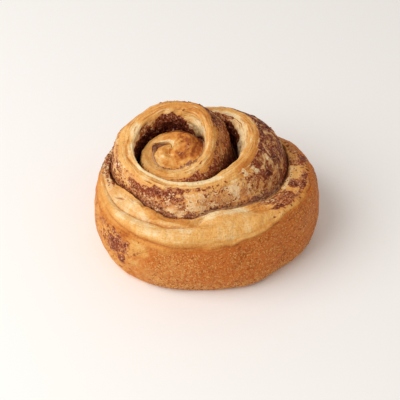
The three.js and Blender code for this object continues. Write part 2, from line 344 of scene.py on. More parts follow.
def painted(ground, rows):
    """A value over the strip: a ground, with patches laid over it one after the other. Each is a value, the
    turns from and to, and the shares across from and to. Their edges are soft, and waver."""
    value = ground + 0 * share
    turn_there = turn + bumps(surface, TURN_WAVER)
    share_there = share + bumps(surface, SHARE_WAVER)
    for amount, turn_from, turn_to, share_from, share_to in rows:
        there = zone(turn_there, turn_from, turn_to, min(TURN_SOFT, turn_to - turn_from))
        there = there * zone(share_there, share_from, share_to, min(SHARE_SOFT, share_to - share_from))
        value = mix(value, amount, there)
    return value


# The painted shade is lighter where light gets into the gaps: round the middle, and at the right on both
# sides of the first ring.
painted_shade = painted_shade * painted(1, (
    (0.4, 1.3, 1.75, 0.5, 1.1),
    (0.6, 2.0, 2.1, 0.6, 1.1),
    (0.5, 2.02, 2.2, 0.07, 0.4),
    (0.6, 2.94, 3.06, -1, 0.3),
))

# The browned crust covers the wall and starts part of the way across the last turn's top, just below a
# shallow crease: at these shares across, and over these widths.
CRUST_EDGE = ((3.3, 1.2), (3.36, 0.62), (3.5, 0.6), (3.514, 0.6), (3.557, 0.67), (3.6, 0.78), (3.63, 0.81),
              (3.65, 0.86), (3.7, 0.93), (3.75, 0.9), (3.79, 0.86), (3.85, 0.75), (3.89, 0.62), (3.944, 0.63),
              (3.977, 0.58), (4.1, 0.55), (4.25, 0.5))
EDGE_WAVER = (0.03, 9, 11)
CRUST_BELOW = 0.06
CRUST_SOFT = ((3.74, 0.18), (3.8, 0.09))
crust_edge = by_turn(turn, *CRUST_EDGE)
below_edge = share - crust_edge + bumps(surface, EDGE_WAVER)
crust = ease((below_edge - CRUST_BELOW) / by_turn(turn, *CRUST_SOFT) + 0.5)

# A pale mark slants across the wall at the front left, where it was brushed. Zones here and below are given
# as from, to and the width of their soft edges.
BRUSH_SLANT, BRUSH_MIDDLE = 0.06, 1.06
BRUSH_TURNS = (3.632, 3.66, 0.02)
BRUSH_SHARES = (0.97, 1.16, 0.08)
brushed = zone(turn - BRUSH_SLANT * (share - BRUSH_MIDDLE), *BRUSH_TURNS) * zone(share, *BRUSH_SHARES)

# The wall's grit: mostly gone where it is smooth at the left, and thicker in front and towards the foot.
SMOOTH_TURNS, SMOOTH_LOSS = (3.54, 3.65, 0.05), 0.75
FRONT_TURNS, FRONT_GAIN = (3.65, 3.74, 0.04), 0.1
GRIT_FOOT_HEIGHT, GRIT_FOOT_GAIN = 12, 0.3
grit = crust * (1 - SMOOTH_LOSS * zone(turn, *SMOOTH_TURNS)) * (1 - brushed)
foot_gain = GRIT_FOOT_GAIN * (1 - ease(height / GRIT_FOOT_HEIGHT))
grit = grit * (1 + FRONT_GAIN * zone(turn, *FRONT_TURNS) + foot_gain)

# The crust is browned less at the left and front left, and on the brushed mark. At the very foot it is paler:
# partly a pale rim, partly painted light reflected up from the floor.
SHADED = ((3.38, 0.0), (3.52, 0.6), (3.62, 0.6), (3.66, 0.45), (3.7, 0.42), (3.73, 0.15), (3.77, 0.15),
          (3.81, 0.0))
SHADE_WAVER = (0.02, 12, 26)
BRUSH_LOSS = 0.3
PALE_FOOT_HEIGHT, PALE_FOOT_CRUST = 3.5, 0.45
shaded = by_turn(turn + bumps(surface, SHADE_WAVER), *SHADED)
crust = crust * (1 - shaded - BRUSH_LOSS * brushed)
crust = crust * mix(PALE_FOOT_CRUST, 1, ease(height / PALE_FOOT_HEIGHT))

# Patches of cinnamon paste, where two turns lay against each other: 0.5 covers half the surface.
smear = painted(-0.3, (
    # The middle: one dark spot with a streak beside it.
    (0.80, 0.852, 0.905, 0.37, 0.48),
    (0.40, 0.92, 1.02, 0.4, 0.52),
    # The first ring: crumbs above its dark inner wall, then its outer face from the front to the back.
    (0.50, 2.36, 2.44, 0.24, 0.34),
    (0.90, 2.92, 3.06, -1.0, 0.06),
    (0.90, 3.05, 3.25, -1.0, 0.19),
    (0.50, 3.12, 3.2, 0.16, 0.28),
    (0.50, 1.66, 1.76, 0.76, 1.1),
    (0.66, 1.76, 1.93, 0.74, 1.1),
    (0.44, 1.735, 1.8, 0.64, 0.7),
    (0.70, 1.8, 1.86, 0.68, 0.8),
    (0.66, 1.83, 1.86, 0.62, 0.69),
    (0.66, 1.86, 1.93, 0.74, 0.86),
    (0.60, 1.862, 1.89, 0.5, 0.56),
    (0.42, 1.93, 2.12, 0.66, 0.78),
    (0.60, 1.93, 2.42, 0.76, 1.1),
    (0.92, 2.07, 2.26, 0.6, 0.86),
    (0.72, 2.26, 2.3, 0.68, 0.86),
    (0.50, 2.3, 2.34, 0.74, 0.86),
    (0.85, 1.845, 1.868, 0.74, 0.8),
    (0.85, 1.915, 1.935, 0.69, 0.75),
    (0.85, 1.98, 2.0, 0.64, 0.7),
    # The second ring's outer slope: left, then the front with its dense streak and pale openings.
    (0.32, 2.4, 2.62, 0.7, 0.9),
    (0.58, 2.42, 2.53, 0.86, 1.1),
    (0.50, 2.52, 2.6, 0.95, 1.1),
    (0.75, 2.535, 2.56, 0.78, 0.88),
    (0.50, 2.6, 2.78, 0.79, 1.1),
    (0.72, 2.63, 2.77, 0.97, 1.1),
    (0.80, 2.605, 2.64, 0.83, 0.92),
    (0.84, 2.625, 2.66, 0.765, 0.87),
    (0.84, 2.65, 2.685, 0.71, 0.81),
    (0.80, 2.67, 2.72, 0.67, 0.785),
    (0.84, 2.71, 2.757, 0.69, 0.79),
    (0.54, 2.7, 2.82, 0.62, 0.695),
    (0.30, 2.775, 2.88, 0.68, 0.82),
    (0.43, 2.775, 2.88, 0.8, 1.1),
    (-0.2, 2.757, 2.775, 0.71, 0.9),
    (-0.3, 2.715, 2.736, 0.86, 0.92),
    (-0.3, 2.738, 2.748, 0.9, 0.97),
    (-0.3, 2.78, 2.79, 0.9, 0.96),
    (-0.2, 2.732, 2.743, 0.715, 0.745),
    (0.0, 2.86, 2.875, 0.65, 0.87),
    # The same slope at the right, dark with golden openings.
    (0.48, 2.88, 2.95, 0.7, 1.1),
    (0.56, 2.92, 2.98, 0.62, 1.1),
    (0.78, 2.97, 3.08, 0.6, 1.1),
    (0.34, 2.885, 2.94, 0.8, 0.95),
    (0.95, 3.05, 3.34, 0.595, 1.1),
    (0.62, 3.34, 3.38, 0.66, 1.1),
    (0.42, 3.38, 3.42, 0.72, 1.1),
    (1.05, 2.932, 2.955, 0.75, 0.86),
    (1.05, 2.985, 3.005, 0.76, 0.86),
    (0.10, 3.06, 3.1, 0.8, 0.88),
    (0.20, 2.96, 2.98, 0.84, 0.9),
    (0.15, 2.988, 3.004, 0.9, 0.96),
    # The outer turn: crumbs at its left, blotches on its right and at the back, and a stain on the wall.
    (0.58, 3.36, 3.53, -1.0, 0.42),
    (0.62, 3.36, 3.488, 0.3, 0.62),
    (0.54, 3.36, 3.47, 0.5, 0.8),
    (0.62, 3.52, 3.545, -1.0, 0.36),
    (0.62, 3.54, 3.56, -1.0, 0.22),
    (0.28, 3.88, 4.2, 0.0, 0.58),
    (0.57, 3.895, 3.948, 0.14, 0.54),
    (1.1, 3.953, 3.977, 0.3, 0.46),
    (1.05, 3.957, 3.972, 0.49, 0.58),
    (1.05, 3.978, 3.997, 0.51, 0.57),
    (1.05, 3.932, 3.943, 0.35, 0.46),
    (-0.1, 3.943, 3.956, 0.2, 0.5),
    (0.80, 3.94, 3.95, 0.25, 0.31),
    (1.05, 3.884, 3.896, 0.41, 0.5),
    (0.70, 3.866, 3.877, 0.59, 0.63),
    (-0.1, 3.98, 4.018, 0.15, 0.45),
    (-0.1, 3.953, 3.975, 0.15, 0.28),
    (0.64, 4.018, 4.033, 0.12, 0.6),
    (1.05, 4.03, 4.052, 0.48, 0.66),
    (0.34, 4.06, 4.45, 0.0, 0.55),
    (0.90, 3.582, 3.597, 1.06, 1.2),
    (0.85, 3.596, 3.609, 0.94, 1.06),
    (0.34, 3.565, 3.6, 0.95, 1.3),
    (0.82, 3.594, 3.607, 1.1, 1.34),
    (0.82, 3.605, 3.62, 1.03, 1.27),
    (0.62, 3.621, 3.637, 1.04, 1.26),
    (0.90, 3.597, 3.61, 1.1, 1.26),
    (0.80, 3.612, 3.629, 1.28, 1.42),
))

# The first ring's inner wall is dark with paste up to an edge that climbs from the right to the back. It is
# also painted in deep shade, which starts a little lower where light falls in at the back.
DARK_EDGE = ((2.0, -0.2), (2.04, -0.04), (2.087, 0.0), (2.132, 0.09), (2.164, 0.15), (2.2, 0.22),
             (2.227, 0.26), (2.253, 0.31), (2.314, 0.305), (2.332, 0.255), (2.4, 0.262), (2.477, 0.285),
             (2.55, 0.28), (2.6, 0.2), (2.66, 0.0))
DARK_WAVER = (0.014, 2.5, 23)
DARK_TURNS = (2.0, 2.68, 0.04)
DARK_SOFT = 0.03
DARK_SMEAR = 0.9
LIT_TURNS, LIT_DROP = (2.17, 2.34, 0.04), 0.08
SHADE_SOFT = 0.05
below_dark = by_turn(turn, *DARK_EDGE) - share + bumps(surface, DARK_WAVER)
inner_dark = ease(below_dark / DARK_SOFT + 0.5) * zone(turn, *DARK_TURNS)
smear = mix(smear, DARK_SMEAR, inner_dark)
below_light = below_dark - LIT_DROP * zone(turn, *LIT_TURNS)
painted_shade = np.maximum(painted_shade, inner_dark * ease(below_light / SHADE_SOFT))

# Every slot is painted in shade from its crack down.
SLOT_SHADE, SLOT_SOFT = 0.8, 0.06
painted_shade = np.maximum(painted_shade, SLOT_SHADE * ease((share - 1) / SLOT_SOFT) * (1 - wall_shown))

# Single specks of the paste, counted in the same way as its patches.
dots = painted(0.05, (
    (0.16, 0.3, 1.3, 0.2, 1.1),
    (0.52, 0.62, 0.94, 0.9, 1.1),
    (0.60, 0.66, 0.77, 0.92, 1.1),
    (0.52, 1.66, 1.8, -1.0, 0.1),
    (0.52, 1.03, 1.16, 0.86, 1.1),
    (0.30, 1.3, 1.7, 0.6, 1.1),
    (0.46, 1.7, 2.1, 0.76, 1.1),
    (0.40, 2.3, 2.44, 0.15, 0.3),
    (0.26, 2.4, 2.62, 0.72, 0.95),
    (0.24, 2.6, 2.95, 0.75, 1.1),
    (0.36, 2.79, 2.86, 0.62, 0.85),
    (0.10, 2.855, 2.878, 0.65, 0.87),
    (0.28, 3.88, 4.2, 0.1, 0.65),
    (0.28, 3.52, 3.64, 0.9, 1.6),
    (-0.2, 3.56, 3.86, 0.03, 0.8),
))

# A greyish film of sugar and cinnamon: round the middle, along the outermost crack in front, on the last
# turn's left rim, and on the brushed mark.
film = painted(-0.2, (
    (0.80, 0.72, 0.92, 0.9, 1.1),
    (0.64, 0.79, 0.9, 0.78, 1.1),
    (0.46, 1.75, 1.89, -1.0, 0.38),
    (0.52, 2.64, 2.78, 0.87, 1.1),
    (0.58, 2.76, 2.82, 0.92, 1.1),
    (0.48, 2.8, 2.88, 0.92, 1.1),
    (0.66, 2.88, 2.98, 0.93, 1.1),
    (0.50, 3.38, 3.5, 0.0, 0.62),
    (0.40, 3.628, 3.655, 1.08, 1.2),
))

# Pale flecks of dough that shine through the paste: blobs, and slanted strokes at the right.
pale = painted(-0.2, (
    (0.42, 2.33, 2.44, 0.2, 0.32),
    (0.40, 2.44, 2.62, 0.74, 0.95),
    (0.38, 2.6, 2.72, 0.82, 0.98),
    (0.38, 2.7, 2.78, 0.7, 0.97),
    (0.47, 2.77, 2.88, 0.7, 0.97),
    (0.80, 2.716, 2.735, 0.87, 0.92),
    (0.80, 2.739, 2.748, 0.9, 0.96),
    (0.80, 2.78, 2.79, 0.9, 0.96),
    (0.75, 2.758, 2.773, 0.72, 0.9),
    (1.00, 2.856, 2.868, 0.72, 0.93),
    (0.70, 2.885, 2.898, 0.77, 0.92),
    (0.70, 2.9, 2.914, 0.6, 0.74),
    (0.75, 2.921, 2.936, 0.66, 0.76),
    (0.68, 2.973, 2.988, 0.69, 0.81),
    (0.46, 3.42, 3.56, 0.05, 0.6),
    (0.30, 3.88, 4.1, 0.05, 0.55),
))
strokes = painted(-0.2, (
    (0.40, 2.86, 2.96, 0.72, 0.92),
    (0.40, 2.95, 3.1, 0.66, 0.95),
    (0.40, 1.95, 2.14, 0.68, 0.92),
    (0.34, 3.1, 3.3, 0.66, 0.95),
))

# Where sugar and cinnamon have tinged the dough itself pinkish: on the second ring's slope and beside it.
rosy = painted(0, (
    (0.5, 2.42, 2.97, 0.69, 1.1),
    (0.5, 2.96, 3.12, 0.66, 1.1),
    (0.6, 3.44, 3.56, -1.0, 0.4),
    (0.5, 3.89, 3.95, 0.15, 0.5),
))

# How toasted the dough is, from cream where it rose apart to brown where the oven reached it.
toast = painted(0.5, (
    (0.58, 0.3, 1.3, -1, 1.1),
    (0.80, 1.12, 1.33, 0.3, 1.1),
    (-0.1, 1.2, 1.38, 0.04, 0.26),
    (0.30, 0.5, 0.67, 0.5, 1.0),
    (1.05, 0.52, 0.64, 0.08, 0.42),
    (0.85, 0.66, 0.72, 0.5, 0.8),
    (1.15, 0.79, 0.95, 0.22, 0.62),
    (1.7, 0.842, 0.905, 0.38, 0.58),
    (0.48, 1.36, 1.65, -1, 1.1),
    (0.25, 1.65, 2.0, -1, 0.65),
    (0.75, 1.65, 1.9, 0.65, 1.1),
    (0.60, 1.63, 1.73, 0.4, 0.66),
    (0.70, 1.92, 2.06, 0.42, 0.64),
    (1.15, 1.9, 2.4, 0.65, 1.1),
    (0.12, 1.95, 2.2, 0.02, 0.26),
    (0.72, 2.1, 2.42, 0.38, 0.66),
    (0.85, 2.08, 2.24, 0.34, 0.62),
    (0.05, 2.4, 2.66, 0.28, 0.54),
    (0.45, 2.4, 2.66, 0.57, 0.72),
    (0.30, 2.46, 2.6, 0.45, 0.57),
    (0.35, 2.42, 2.62, 0.72, 1.1),
    (-0.4, 2.6, 2.9, 0.1, 0.55),
    (0.3, 2.84, 2.97, 0.05, 0.56),
    (0.50, 2.6, 2.95, 0.58, 0.68),
    (0.12, 2.62, 2.73, 0.56, 0.67),
    (0.40, 2.6, 2.95, 0.69, 1.1),
    (0.15, 2.86, 2.875, 0.65, 0.87),
    (0.1, 2.9, 3.25, 0.03, 0.34),
    (0.55, 2.9, 3.3, 0.37, 0.66),
    (1.05, 2.89, 3.08, 0.52, 0.7),
    (0.40, 3.4, 4.45, -1, 1.1),
    (0.15, 3.52, 3.72, 0.05, 0.8),
    (0.38, 3.71, 3.92, 0.05, 0.9),
    (0.42, 3.82, 3.87, 0.5, 0.78),
    (0.85, 3.66, 3.75, 0.05, 0.36),
    (0.80, 3.86, 3.93, 0.1, 0.42),
    (0.0, 3.775, 3.86, 0.02, 0.24),
    (0.62, 3.88, 3.95, 0.1, 0.56),
    (0.15, 3.86, 3.95, 0.56, 0.66),
    (0.15, 3.95, 4.02, 0.15, 0.3),
    (0.60, 4.03, 4.3, 0.0, 0.6),
    (0.70, 3.5, 3.64, 0.85, 2.0),
))

# The crust's upper edge is toasted, the brushed mark isn't, and the middle is mottled, with its brownest
# spot at its right.
EDGE_TOAST, EDGE_BAND = 0.45, (-0.1, 0.3, 0.14)
BRUSH_TOAST = 0.4
LOBE_TOAST, LOBE_TURNS, LOBE_SHARES = 1.3, (0.9, 1.17, 0.12), (0.3, 0.92, 0.26)
LOBE_WAVER = (0.03, 5, 24)
MIDDLE_TURNS = (0.2, 1.2, 0.1)
MIDDLE_MOTTLE = (0.28, 2.4, 25)
toast = toast + EDGE_TOAST * zone(below_edge, *EDGE_BAND) * wall_shown - BRUSH_TOAST * brushed
lobe = zone(turn + bumps(surface, LOBE_WAVER), *LOBE_TURNS) * zone(share, *LOBE_SHARES)
toast = mix(toast, LOBE_TOAST, lobe) + zone(turn, *MIDDLE_TURNS) * bumps(surface, MIDDLE_MOTTLE)

# Where the layers of the rolled dough show as thin lines: on every rim, and faintly on the folds in front.
ply = painted(-0.4, (
    (0.25, 1.3, 1.65, 0.2, 0.7),
    (0.38, 1.65, 3.35, 0.12, 0.66),
    (0.30, 1.8, 2.15, 0.64, 0.95),
    (0.02, 3.5, 3.9, 0.1, 0.9),
    (0.30, 3.655, 3.76, 0.05, 0.45),
    (0.30, 3.83, 3.93, 0.06, 0.36),
))

# Creases run along the top of the last turn at the front left, between soft folds of dough, and one splits
# the rim at the left. Each has its path as shares across at some turns, its depth in mm and its half width.
FOLD_LINE = ((3.52, 0.47), (3.55, 0.47), (3.576, 0.488), (3.6, 0.469), (3.628, 0.464), (3.656, 0.44),
             (3.673, 0.49), (3.692, 0.485), (3.711, 0.45), (3.735, 0.38), (3.774, 0.17), (3.8, 0.06))
CREASES = (
    (FOLD_LINE, 2.0, 0.04),
    (CRUST_EDGE[3:11], 1.0, 0.04),
    (((3.56, 0.36), (3.568, 0.33), (3.584, 0.26), (3.61, 0.2)), 0.7, 0.025),
    (((2.47, 0.56), (2.55, 0.58), (2.64, 0.54)), 0.9, 0.02),
)


def crease_depth(path, depth, reach):
    """How far a crease sinks the surface: a cusp across it that fades at both ends of its path."""
    first, last = path[0][0], path[-1][0]
    fade = half_wave((turn - first) / (last - first))
    return depth * fade * np.exp(-np.abs(share - by_turn(turn, *path)) / reach)


creases = [crease_depth(*row) for row in CREASES]
# The creases are also painted a darker orange: partly the fold lines' own tint, partly painted shade in them.
crease = sum(sunk / depth for sunk, (path, depth, reach) in zip(creases, CREASES))

# The dough bulges between the creases, by mm: a half wave from each one to the next.
FOLD_BULGE = 1.8
OUTER_FOLD_SHARE = 0.8
FOLD_FROM, FOLD_TO = 3.48, 3.86
fold_line = by_turn(turn, *FOLD_LINE)
fold_run = np.sqrt(half_wave((turn - FOLD_FROM) / (FOLD_TO - FOLD_FROM)))
inner_fold = half_wave(share / fold_line)
outer_fold = half_wave((share - fold_line) / (crust_edge - fold_line))
bulge = FOLD_BULGE * fold_run * (inner_fold + OUTER_FOLD_SHARE * outer_fold)

# The pale top ends in a thin lip above the crust, from the front to the right, and the crust is toasted under
# it.
# The lip is painted paler: partly pale dough, partly a painted highlight along its edge. The lip and the
# toasted band each have a place and a reach below the edge, and a zone of turns.
EDGE_LIP = 0.8
EDGE_LIP_BAND, EDGE_LIP_TURNS = (-0.04, 0.032), (3.76, 3.88, 0.12)
EDGE_LIP_PALE_AND_HIGHLIGHT = 0.4
UNDER_LIP_BAND, UNDER_LIP_TURNS = (0.035, 0.025), (3.74, 4.06, 0.1)
UNDER_LIP_TOAST = 0.5
edge_lip = hump(below_edge, *EDGE_LIP_BAND) * zone(turn, *EDGE_LIP_TURNS)
under_lip = hump(below_edge, *UNDER_LIP_BAND) * zone(turn, *UNDER_LIP_TURNS)
toast = toast - EDGE_LIP_PALE_AND_HIGHLIGHT * edge_lip + UNDER_LIP_TOAST * under_lip

# Relief along the surface's own direction, in mm: bumps all over, and more of them on the torn edges. It
# fades out towards the cracks, the foot of the wall and the strip's inner end.
DOUGH_BUMPS = ((0.4, 21, 1), (0.22, 7, 2), (0.1, 3, 3))
TORN_BUMPS = (0.45, 4.5, 4)
TORN_SHARES = (0.1, 0.36, 0.08)
TORN_TURNS = ((2.08, 2.56, 0.06), (2.94, 3.24, 0.06))
FADE_IN, FADE_OUT = 0.12, 0.1
WALL_FOOT_SHARE = 1.97
RELIEF_FROM, RELIEF_OVER = 0.5, 0.5
edge_across = np.gradient(surface, axis=1)
edge_along = np.gradient(surface, axis=0)
outwards = np.cross(edge_across, edge_along)
outwards /= np.maximum(np.linalg.norm(outwards, axis=-1, keepdims=True), TINY)
to_crack = ease((1 - share) / FADE_OUT)
to_foot = ease((WALL_FOOT_SHARE - share) / FADE_OUT)
shown = ease(share / FADE_IN) * mix(to_crack, to_foot, wall_shown)
shown = shown * ease((turn - RELIEF_FROM) / RELIEF_OVER)
torn = zone(share, *TORN_SHARES) * sum(zone(turn, *turns) for turns in TORN_TURNS)
relief = bumps(surface, *DOUGH_BUMPS) + torn * bumps(surface, TORN_BUMPS)
relief = relief + bulge + EDGE_LIP * edge_lip - sum(creases)
surface = surface + (relief * shown)[..., None] * outwards


def grid_faces(rows, cols):
    """Triangles of a grid whose columns run round and whose rows run along, with outward faces."""
    corner = np.arange(rows * cols).reshape(rows, cols)
    beside = np.roll(corner, -1, axis=1)
    a, b, c, d = corner[:-1], beside[:-1], corner[1:], beside[1:]
    return np.concatenate([np.stack([a, b, c], -1).reshape(-1, 3), np.stack([b, d, c], -1).reshape(-1, 3)])


def closed_ends(values):
    """The rows of a value with a row of its own mean before the first and after the last."""
    first = np.broadcast_to(values[:1].mean(axis=1, keepdims=True), values[:1].shape)
    last = np.broadcast_to(values[-1:].mean(axis=1, keepdims=True), values[-1:].shape)
    return np.concatenate([first, values, last])


MERGE_DIGITS = 4


def make_piece(name, points, faces, uv, attributes):
    """A smooth mesh object of points in mm. Points that fall together when rounded are merged, and each
    attribute is a value per point."""
    rounded = np.round(points, MERGE_DIGITS)
    _, kept, index = np.unique(rounded, axis=0, return_index=True, return_inverse=True)
    faces = index.reshape(-1)[faces]
    a, b, c = faces.T
    faces = faces[(a != b) & (b != c) & (c != a)]
    mesh = bpy.data.meshes.new(name)
    mesh.from_pydata((points[kept] * MM).tolist(), [], faces.tolist())
    mesh.polygons.foreach_set("use_smooth", np.ones(len(faces), bool))
    layer = mesh.uv_layers.new(name="strip")
    layer.data.foreach_set("uv", (uv[kept] * MM)[faces.reshape(-1)].reshape(-1))
    for label, values in attributes.items():
        held = mesh.attributes.new(label, "FLOAT", "POINT")
        held.data.foreach_set("value", values[kept].astype(np.float32))
    mesh.update()
    piece = bpy.data.objects.new(name, mesh)
    bpy.context.collection.objects.link(piece)
    return piece


# Where a point lies on the strip: along the rim, and across from it.
run_across = np.cumsum(np.linalg.norm(np.diff(surface, axis=1, prepend=surface[:, :1]), axis=-1), axis=1)
rim_column = np.argmin(np.abs(share - 0.5), axis=1)[:, None]
run_across -= np.take_along_axis(run_across, rim_column, axis=1)
strip_uv = np.stack([run_along + 0 * share, run_across], -1)

# The middle of the roll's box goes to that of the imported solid.
node_low, node_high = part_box("dough")
to_node = np.array((node_low + node_high) / 2) / MM - box_middle
to_node[2] = 0

paint = {"toast": toast, "ply": ply, "crust": crust, "crease": crease, "smear": smear, "dots": dots,
         "film": film, "pale": pale, "strokes": strokes, "rosy": rosy, "grit": grit, "painted_shade": painted_shade}
closed = closed_ends(surface)
dough = make_piece(
    "baked_dough",
    (closed + to_node).reshape(-1, 3),
    grid_faces(*closed.shape[:2]),
    closed_ends(strip_uv).reshape(-1, 2),
    {label: closed_ends(values + 0 * share).reshape(-1) for label, values in paint.items()},
)


def colour(hex_value):
    """A hex sRGB colour as linear light, with alpha 1."""
    parts = np.array([int(hex_value[k:k + 2], 16) for k in (1, 3, 5)]) / 255
    light = np.where(parts <= 0.04045, parts / 12.92, ((parts + 0.055) / 1.055) ** 2.4)
    return (*light.tolist(), 1.0)


def add(tree, kind, links=None, **settings):
    """Adds a node to a tree: settings are its own, and links give each input a value or a socket."""
    node = tree.nodes.new(kind)
    for name, value in settings.items():
        setattr(node, name, value)
    for name, value in (links or {}).items():
        if isinstance(value, bpy.types.NodeSocket):
            tree.links.new(value, node.inputs[name])
        else:
            node.inputs[name].default_value = value
    return node


# Baked yeast dough, torn apart by its own rise and browned in the oven: a soft satin skin, finely grained,
# pale to golden to brown, with patches and specks of dark cinnamon paste.
dough_material = bpy.data.materials.new("baked yeast dough")
dough_material.use_nodes = True
tree = dough_material.node_tree
shader = tree.nodes["Principled BSDF"]
spot = add(tree, "ShaderNodeTexCoord").outputs["Object"]
strip = add(tree, "ShaderNodeUVMap", uv_map="strip").outputs["UV"]

# Ways in which a pattern follows the strip: how many times longer than wide it is, and its slant in degrees.
STRETCHES = {"dragged": (1.8, 0), "drawn": (16, 0), "slanted": (2.2, -45)}
read_at = {"spot": spot}
for name, (length, slant) in STRETCHES.items():
    turned = (0.0, 0.0, np.radians(slant))
    links = {"Vector": strip, "Rotation": turned, "Scale": (length, 1.0, 1.0)}
    read_at[name] = add(tree, "ShaderNodeMapping", links, vector_type="TEXTURE").outputs["Vector"]

# Patterns: where they are read, the size of a feature in mm, their detail, roughness and distortion. The
# specks and grains are drawn coarser than real ones, so that they show.
PATTERNS = {
    "clouds": ("spot", 8.0, 3.0, 0.55, 0.3),
    "patches": ("dragged", 3.4, 5.0, 0.65, 0.5),
    "scribbles": ("slanted", 3.8, 2.0, 0.6, 0.8),
    "scrawls": ("spot", 2.0, 3.0, 0.65, 0.6),
    "specks": ("spot", 1.2, 2.0, 0.6, 0.3),
    "grains": ("spot", 0.9, 1.0, 0.5, 0.0),
    "plies": ("drawn", 0.9, 3.0, 0.65, 0.0),
}
pattern = {}
for name, (where, size, detail, roughness, distortion) in PATTERNS.items():
    links = {"Vector": read_at[where], "Scale": 1 / (size * MM), "Detail": detail, "Roughness": roughness,
             "Distortion": distortion}
    pattern[name] = add(tree, "ShaderNodeTexNoise", links).outputs["Fac"]

# Sandy grain: small cells, each with a random brightness of its own. They are drawn coarser too.
SAND_MM = 0.55
cells = add(tree, "ShaderNodeTexVoronoi", {"Vector": spot, "Scale": 1 / (SAND_MM * MM)})
pattern["sand"] = add(tree, "ShaderNodeRGBToBW", {"Color": cells.outputs["Color"]}).outputs["Val"]

# What the layers of colour go by: a painted value, plus patterns in some weights, each counted from its
# middle, which is at one half.
GUIDES = {
    "toasted": ("toast", {"clouds": 1.0, "plies": 0.6, "scrawls": 0.4, "specks": 0.2}),
    "plied": ("ply", {"plies": 2.6, "clouds": 0.6}),
    "streaked": ("ply", {"plies": -2.6, "specks": 0.5}),
    "crease_tint_and_shade": ("crease", {"specks": 0.4}),
    "crusted": ("crust", {"scrawls": 0.4, "clouds": 0.4}),
    "browned": ("crust", {"clouds": 1.0, "scrawls": 1.0, "specks": 0.8}),
    "pored": ("grit", {"sand": 1.0, "grains": 0.8, "specks": 0.6}),
    "singed": ("grit", {"sand": -1.0, "grains": 0.8, "scrawls": 0.6}),
    "flecked": ("pale", {"patches": 1.3, "scrawls": 1.3, "specks": 0.6, "sand": 0.12}),
    "stroked": ("strokes", {"scribbles": 2.3, "scrawls": 1.0, "specks": 0.6, "sand": 0.2}),
    "tinged": ("rosy", {"clouds": 0.8, "scrawls": 0.8}),
    "stained": ("smear", {"patches": 1.2, "clouds": 0.6, "scrawls": 0.6}),
    "smeared": ("smear", {"patches": 1.1, "scrawls": 1.2, "specks": 1.1, "sand": 0.4}),
    "clotted": ("smear", {"patches": 1.2, "specks": 0.8}),
    "dotted": ("dots", {"scrawls": 1.0, "specks": 1.3, "grains": 0.5}),
    "filmed": ("film", {"scrawls": 1.2, "specks": 1.2, "sand": 0.35}),
    "in_painted_shade": ("painted_shade", {"specks": 0.3}),
}
guide = {}
for name, (painted_value, weights) in GUIDES.items():
    held = add(tree, "ShaderNodeAttribute", attribute_name=painted_value).outputs["Fac"]
    middles = sum(weights.values()) / 2
    held = add(tree, "ShaderNodeMath", {0: held, 1: middles}, operation="SUBTRACT").outputs[0]
    for label, weight in weights.items():
        terms = {0: pattern[label], 1: weight, 2: held}
        held = add(tree, "ShaderNodeMath", terms, operation="MULTIPLY_ADD").outputs[0]
    guide[name] = held

# Layers of colour, one over the other: the guide, where it starts and where it covers, and the colour.
CREAM = "#f5d9a8"
LAYERS = (
    ("toasted", -0.10, 0.35, "#eab166"),
    ("toasted", 0.25, 0.75, "#dc964a"),
    ("toasted", 0.70, 1.10, "#c97c35"),
    ("toasted", 1.05, 1.50, "#9c5022"),
    ("plied", 0.52, 0.80, "#b87438"),
    ("streaked", 0.55, 0.85, "#f0d09a"),
    # Darker orange in the creases: partly their tint, partly painted shade.
    ("crease_tint_and_shade", 0.20, 0.90, "#c47838"),
    ("crusted", 0.30, 0.70, "#c76a27"),
    ("browned", 0.95, 1.25, "#a85419"),
    ("pored", 1.00, 1.28, "#d48b46"),
    ("pored", 1.24, 1.46, "#e2a965"),
    ("singed", 1.32, 1.56, "#a04e1a"),
    ("tinged", 0.20, 0.90, "#e3a268"),
    ("stained", 0.16, 0.50, "#bb7443"),
    ("smeared", 0.46, 0.57, "#8b4426"),
    ("clotted", 0.80, 1.08, "#642a12"),
    ("filmed", 0.42, 0.60, "#95654e"),
    ("flecked", 0.46, 0.56, "#efc896"),
    ("stroked", 0.44, 0.54, "#b97f4a"),
    ("stroked", 0.60, 0.72, "#e2ad73"),
    ("dotted", 0.40, 0.52, "#ac602c"),
    ("dotted", 0.54, 0.66, "#7a3817"),
    # Painted shade in the gaps and slots, towards near black.
    ("in_painted_shade", 0.00, 1.00, "#4c1606"),
)

# A mix of colours takes its share at input 0 and the colours at 6 and 7, and gives the result at output 2.
skin = colour(CREAM)
for name, starts, covers, tint in LAYERS:
    cover = add(tree, "ShaderNodeMapRange", {"Value": guide[name], "From Min": starts, "From Max": covers},
                interpolation_type="SMOOTHSTEP").outputs["Result"]
    skin = add(tree, "ShaderNodeMix", {0: cover, 6: skin, 7: colour(tint)}, data_type="RGBA").outputs[2]

# Fine mottling: darker spots are also warmer. Each pattern counts in the power that the colour is taken to,
# with one weight on bare dough and one that is added where the paste is thick.
MOTTLE = {"specks": (0.3, 1.8), "grains": (0.3, 0.8), "sand": (0.08, 0.8)}
paste_there = add(tree, "ShaderNodeAttribute", attribute_name="smear").outputs["Fac"]
paste_there = add(tree, "ShaderNodeMath", {0: paste_there, 1: 0.0}, operation="MAXIMUM").outputs[0]
power = 1.0
for label, (bare, pasted) in MOTTLE.items():
    off_middle = add(tree, "ShaderNodeMath", {0: pattern[label], 1: 0.5}, operation="SUBTRACT").outputs[0]
    terms = {0: paste_there, 1: pasted, 2: bare}
    weight = add(tree, "ShaderNodeMath", terms, operation="MULTIPLY_ADD").outputs[0]
    terms = {0: off_middle, 1: weight, 2: power}
    power = add(tree, "ShaderNodeMath", terms, operation="MULTIPLY_ADD").outputs[0]
mottled = add(tree, "ShaderNodeGamma", {"Color": skin, "Gamma": power})
tree.links.new(mottled.outputs["Color"], shader.inputs["Base Color"])

